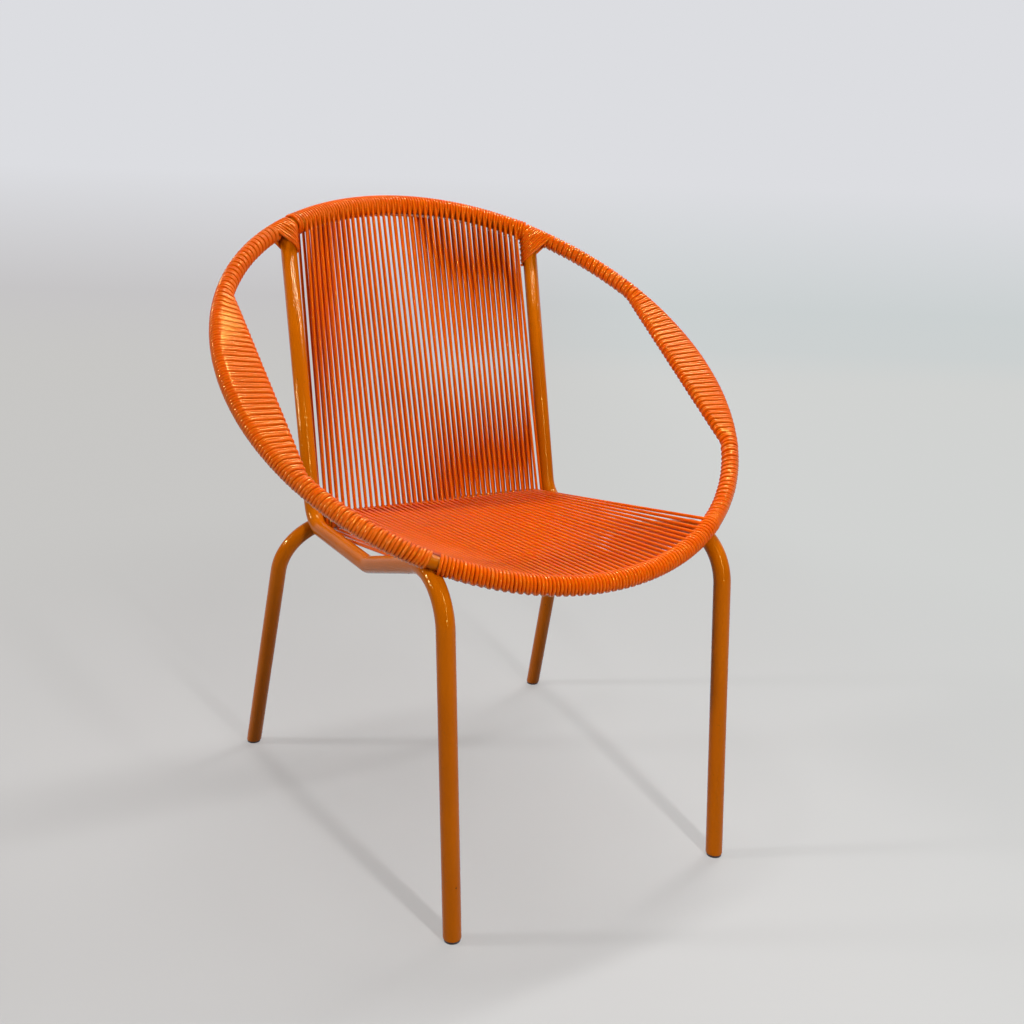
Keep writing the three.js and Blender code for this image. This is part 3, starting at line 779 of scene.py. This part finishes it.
def rim_winding(node, first, last, side, seed, lean=0, lean_way=0, lean_share=1):
    """Cord wound on the bare hoop; its turns can lean, on one side, towards its first end."""
    turns = round(hoop_length(first, last) / PITCH)
    lifts = winding_lifts(seed)
    path = []
    for step in range(turns * RIM_TURN_STEPS + 1):
        turn = step / RIM_TURN_STEPS
        phase = 2 * pi * turn
        fading = min(1, max(0, (lean_share * turns - turn) / LEAN_FADE),
                     LEAN_START + turn / LEAN_GROWTH)
        angle = first + (last - first) * paired(turn) / turns
        angle -= lean / HOOP_HALF_WIDTH * fading * (1 + cos(phase - lean_way)) / 2
        around = hoop_inward(angle) * cos(phase) + HOOP_NORMAL * sin(phase)
        point = tube_point(angle) + around * (tube_radius(angle) + cord_lift(turn, lifts))
        path.append(mirrored(point, side))
    cord_piece(node, path, WOUND_CORD)


def ellipse_points(centre, along, up, rise=0):
    """Points of an ellipse, as distances along the belt and up."""
    angles = [-pi + 2 * pi * step / ELLIPSE_STEPS for step in range(ELLIPSE_STEPS + 1)]
    return [(centre + along * cos(angle), rise + up * sin(angle)) for angle in angles]


def tight_hull(points):
    """The corners of a belt pulled tight round points, in turn."""
    ordered = sorted(set(points))
    hull = []
    for run in (ordered, ordered[::-1]):
        base = len(hull)
        for point in run:
            while len(hull) > base + 1:
                (ax, ay), (bx, by) = hull[-2], hull[-1]
                if (bx - ax) * (point[1] - ay) - (by - ay) * (point[0] - ax) > 0:
                    break
                hull.pop()
            hull.append(point)
        hull.pop()
    return hull


def belt_points(points, count):
    """Evenly spaced places on a tight belt, from its far end at middle height round and back."""
    hull = tight_hull(points)
    start = max(hull, key=lambda point: point[0] - abs(point[1]) * MIDDLE_PULL)
    first = hull.index(start)
    hull = hull[first:] + hull[:first] + [start]
    lengths = [hypot(bx - ax, by - ay) for (ax, ay), (bx, by) in zip(hull, hull[1:])]
    total = sum(lengths)
    places = []
    index = 0
    passed = 0
    for step in range(count):
        target = total * step / count
        while passed + lengths[index] < target:
            passed += lengths[index]
            index += 1
        part = (target - passed) / lengths[index]
        (ax, ay), (bx, by) = hull[index], hull[index + 1]
        places.append((ax + (bx - ax) * part, ay + (by - ay) * part))
    return places


def arm_winding(node, side, seed):
    """Cord wound flat round the hoop and the arm bar, square to both on average."""
    bar_front = hoop_point(ARM_FRONT)
    bar_rear = hoop_point(ARM_REAR)
    bar_way = (bar_rear - bar_front).normalized()
    turns = round((bar_rear - bar_front).length / PITCH)
    lifts = winding_lifts(seed)
    path = []
    for step in range(turns * ARM_TURN_STEPS + 1):
        turn = step / ARM_TURN_STEPS
        share = min(max(paired(turn) / turns, 0), 1)
        angle = ARM_FRONT + (ARM_REAR - ARM_FRONT) * share
        hoop = hoop_point(angle)
        along = (hoop_tangent(angle) + bar_way * sin(pi * share)).normalized()
        bar = bar_front + bar_way * (hoop - bar_front).dot(along) / bar_way.dot(along)
        inward = HOOP_NORMAL.cross(along).normalized()
        hoop_up = HOOP_RADIUS + cord_lift(turn, lifts)
        bar_up = ARM_BAR_RADIUS + cord_lift(turn, lifts)
        points = ellipse_points(0, hoop_up, hoop_up)
        points += ellipse_points((bar - hoop).length, bar_up, bar_up)
        reach, height = belt_points(points, ARM_TURN_STEPS)[step % ARM_TURN_STEPS]
        path.append(mirrored(hoop + inward * reach + HOOP_NORMAL * height, side))
    cord_piece(node, path, WOUND_CORD)


def corner_lashing(node, side, seed, last_reach, last_slope):
    """Slanting turns round the hoop and the top of an upright that fill the corner between them."""
    corners = side_path(1)
    down = (corners[1] - corners[0]).normalized()
    turns = round((last_reach - WEB_FIRST_REACH) / WEB_PITCH)
    lifts = winding_lifts(seed)
    path = []
    for step in range(turns * WEB_TURN_STEPS + 1):
        turn = step / WEB_TURN_STEPS
        share = turn / turns
        reach = WEB_FIRST_REACH + (last_reach - WEB_FIRST_REACH) * share
        slope = WEB_FIRST_SLOPE + (last_slope - WEB_FIRST_SLOPE) * share
        angle = CROSSING - reach / hoop_speed(CROSSING)
        hoop = tube_point(angle)
        tangent = hoop_tangent(angle)
        front = tangent.cross(down).normalized()
        front *= -1 if front.y > 0 else 1
        aside = across_part(across_part(-X_AXIS, front), down)
        way = (aside * cos(slope) + down * sin(slope)).normalized()
        hoop_up = tube_radius(angle) + cord_lift(turn, lifts)
        points = ellipse_points(0, hoop_up / way.cross(tangent).length, hoop_up)
        level = way.cross(front)
        top = corners[0] - hoop
        upright = top - down * top.dot(level) / down.dot(level)
        upright_up = TUBE_RADIUS + cord_lift(turn, lifts)
        held = ellipse_points(upright.dot(way), upright_up / way.cross(down).length, upright_up,
                              upright.dot(front))
        points += [(along, up) for along, up in held
                   if (way * along + front * up).dot(down) > top.dot(down)]
        along, up = belt_points(points, WEB_TURN_STEPS)[step % WEB_TURN_STEPS]
        path.append(mirrored(hoop + way * along + front * up, side))
    cord_piece(node, path, WOUND_CORD)


def build_windings():
    for name, row in WINDING_SIDES.items():
        side, seed = row["side"], row["seed"]
        lower_start = -CROSSING + row["front_bare"] / HOOP_HALF_WIDTH
        upper_end = CROSSING - (row["web_reach"] - WEB_OVERLAP) / HOOP_HALF_WIDTH
        rim_winding(f"{name}_lower_rim_winding", lower_start, ARM_FRONT, side, seed,
                    row["lean"], row["lean_way"], row["lean_share"])
        rim_winding(f"{name}_upper_rim_winding", ARM_REAR, upper_end, side, seed + 1)
        arm_winding(f"{name}_arm_winding", side, seed + 2)
        corner_lashing(f"{name}_corner_lashing", side, seed + 3, row["web_reach"],
                       row["web_slope"])


# Stage

def seen_rays(tree):
    """One for rays from the camera and for reflected and transmitted ones, otherwise nothing."""
    rays = tree.nodes.new("ShaderNodeLightPath")
    seen = rays.outputs["Is Camera Ray"]
    for other in ("Is Glossy Ray", "Is Transmission Ray"):
        seen = math_node(tree, "MAXIMUM", seen, rays.outputs[other])
    return seen


def backdrop_painted_light(tree, coordinates, crossing):
    """Painted light: the backdrop's glow, lighter towards the top and from the left of the view to
    its right.
    """
    split = tree.nodes.new("ShaderNodeSeparateXYZ")
    tree.links.new(coordinates, split.inputs["Vector"])
    height = range_node(tree, split.outputs["Z"], 0, 1, *BACKDROP_HEIGHT)
    return mix_node(tree, crossing, ramp_node(tree, height, BACKDROP_LEFT),
                    ramp_node(tree, height, BACKDROP_RIGHT))


def floor_material():
    """Pale matt floor that, for the camera and in reflections, passes into a pale backdrop. Both
    glow there with painted light: the floor is lit up more towards the right of the view, and the
    backdrop grows lighter towards the top and the right.
    """
    material, tree, shader, coordinates = new_material("studio_floor")
    tones = ramp_node(tree, noise_node(tree, coordinates, *FLOOR_NOISE), FLOOR_TONES)
    tree.links.new(tones, shader.inputs["Base Color"])
    set_sockets(shader, Roughness=FLOOR_ROUGHNESS, Specular_IOR_Level=FLOOR_SPECULAR)
    seen = seen_rays(tree)
    sideways = tree.nodes.new("ShaderNodeVectorMath")
    sideways.operation = "DOT_PRODUCT"
    sideways.inputs[1].default_value = (cos(CAMERA_AZIMUTH), sin(CAMERA_AZIMUTH), 0)
    tree.links.new(coordinates, sideways.inputs[0])
    crossing = range_node(tree, sideways.outputs["Value"], 0, 1, *BACKDROP_WIDTH)
    # Painted light: the floor's glow, stronger towards the right of the view
    lift = emission_node(tree, ramp_node(tree, crossing, FLOOR_PAINTED_LIGHT))
    tree.links.new(seen, lift.inputs["Strength"])
    near = tree.nodes.new("ShaderNodeAddShader")
    tree.links.new(shader.outputs["BSDF"], near.inputs[0])
    tree.links.new(lift.outputs["Emission"], near.inputs[1])
    # The backdrop glows in painted light, lighter towards the top and the right
    backdrop = emission_node(tree, backdrop_painted_light(tree, coordinates, crossing))
    reach = tree.nodes.new("ShaderNodeVectorMath")
    reach.operation = "LENGTH"
    tree.links.new(coordinates, reach.inputs[0])
    blend = range_node(tree, reach.outputs["Value"], 0, 1, *BACKDROP_BLEND, "SMOOTHSTEP")
    both = tree.nodes.new("ShaderNodeMixShader")
    tree.links.new(math_node(tree, "MULTIPLY", blend, seen), both.inputs["Fac"])
    tree.links.new(near.outputs["Shader"], both.inputs[1])
    tree.links.new(backdrop.outputs["Emission"], both.inputs[2])
    tree.links.new(both.outputs["Shader"], tree.nodes["Material Output"].inputs["Surface"])
    return material


def build_stage():
    """A pale sweep, square to the view: floor in front, rising gently far behind."""
    rows = [(SWEEP_FRONT, 0), (SWEEP_BEND, 0)]
    for step in range(1, SWEEP_STEPS + 1):
        angle = pi / 2 * step / SWEEP_STEPS
        rows.append((SWEEP_BEND + SWEEP_RADIUS * sin(angle), SWEEP_RADIUS * (1 - cos(angle))))
    rows.append((SWEEP_BEND + SWEEP_RADIUS, SWEEP_TOP))
    turn = Matrix.Rotation(CAMERA_AZIMUTH, 3, "Z")
    points = [turn @ Vector((x, y, z)) for y, z in rows
              for x in (-SWEEP_HALF_WIDTH, SWEEP_HALF_WIDTH)]
    faces = [(2 * row, 2 * row + 1, 2 * row + 3, 2 * row + 2) for row in range(len(rows) - 1)]
    mesh = bpy.data.meshes.new("studio_floor")
    mesh.from_pydata(points, [], faces)
    mesh.shade_smooth()
    mesh.materials.append(floor_material())
    floor = bpy.data.objects.new("studio_floor", mesh)
    bpy.context.scene.collection.objects.link(floor)


def build_lights():
    world = bpy.data.worlds.new("studio")
    world.use_nodes = True
    set_sockets(world.node_tree.nodes["Background"], Color=WORLD_COLOUR, Strength=WORLD_STRENGTH)
    bpy.context.scene.world = world
    for name, (position, target, size, power) in LAMPS.items():
        light = bpy.data.lights.new(name, "AREA")
        light.shape = "RECTANGLE"
        light.size, light.size_y = size
        light.energy = power
        lamp = bpy.data.objects.new(name, light)
        bpy.context.scene.collection.objects.link(lamp)
        lamp.location = position
        back = (Vector(position) - Vector(target)).normalized()
        across = across_part(X_AXIS, back)
        lamp.rotation_euler = Matrix((across, back.cross(across), back)).transposed().to_euler()


def build_camera():
    """The photograph's view: its axes from azimuth, elevation and roll."""
    a, e = CAMERA_AZIMUTH, CAMERA_ELEVATION
    back = Vector((sin(a) * cos(e), -cos(a) * cos(e), sin(e)))
    right = (-back).cross(Z_AXIS).normalized()
    up = right.cross(-back)
    rolled_right = right * cos(CAMERA_ROLL) + up * sin(CAMERA_ROLL)
    rolled_up = up * cos(CAMERA_ROLL) - right * sin(CAMERA_ROLL)
    camera = bpy.data.cameras.new("camera")
    camera.sensor_width = SENSOR_WIDTH
    camera.lens = SENSOR_WIDTH * FOCAL_PIXELS / PICTURE_PIXELS
    holder = bpy.data.objects.new("camera", camera)
    bpy.context.scene.collection.objects.link(holder)
    axes = Matrix((rolled_right, rolled_up, back)).transposed().to_4x4()
    holder.matrix_world = Matrix.Translation(place(*CAMERA_PLACE)) @ axes
    bpy.context.scene.camera = holder


build_camera()
build_hoop()
build_side_tubes()
build_rear_leg_frame()
build_welds()
build_strung()
build_windings()
keep_arm_bars()
build_stage()
build_lights()
bpy.context.scene.view_settings.view_transform = "Standard"
